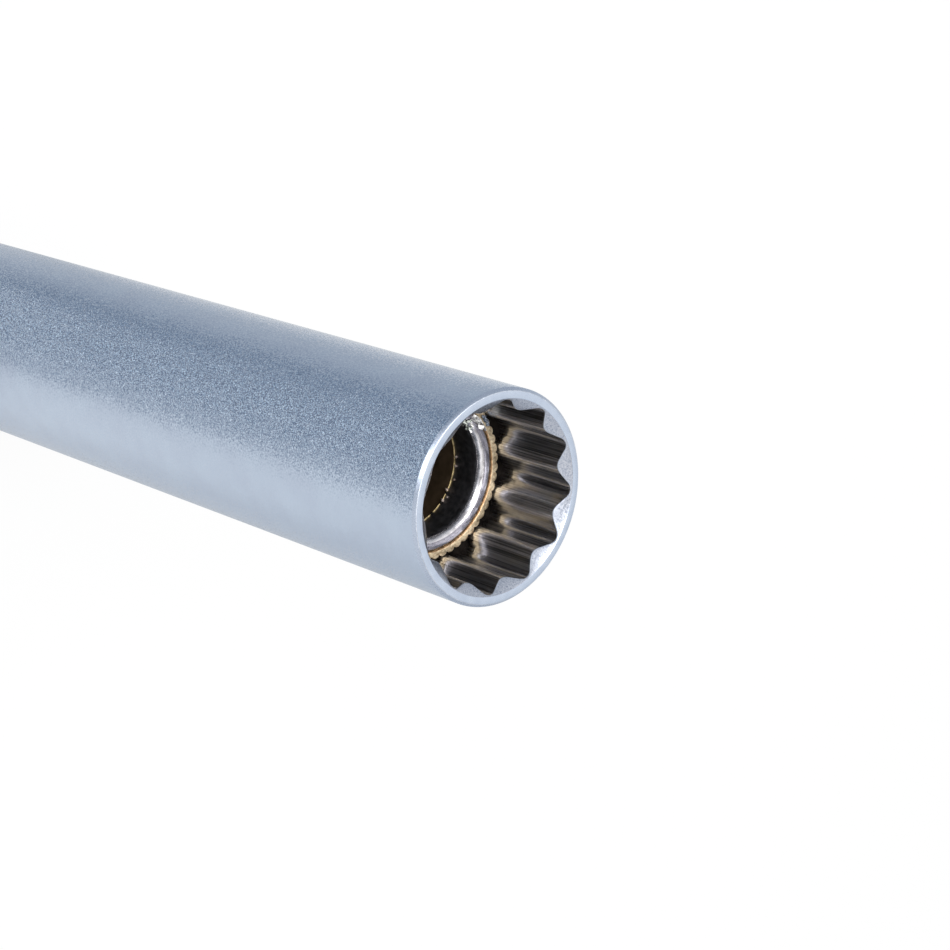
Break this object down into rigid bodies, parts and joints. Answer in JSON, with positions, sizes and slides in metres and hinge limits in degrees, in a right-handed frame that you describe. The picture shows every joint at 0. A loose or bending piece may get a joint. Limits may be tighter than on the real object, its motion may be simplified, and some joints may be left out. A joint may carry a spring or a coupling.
{
  "type": "spark plug socket",
  "caption": "Slim magnetic spark plug socket: a satin steel sleeve with a grooved mouth for the plug's hexagon, a ring magnet in a knurled brass cup, and a square drive.",
  "frame": {"origin": "centre of the drive end's face, on the axis of the socket", "axes": "+Z along the axis and out of the mouth, +X through the middle of one of the mouth's grooves"},
  "size_m": [0.0182, 0.0182, 0.09],
  "materials": {
    "satin_chrome": "satin chrome plate over steel, mirror-bright inside the grooves",
    "turned_brass": "turned and knurled, lightly frosted",
    "nickel_plate": "bright nickel plate"
  },
  "bodies": {
    "root": {"socket_body": "satin_chrome", "magnet_cup": "turned_brass", "ring_magnet": "nickel_plate"}
  },
  "joints": []
}
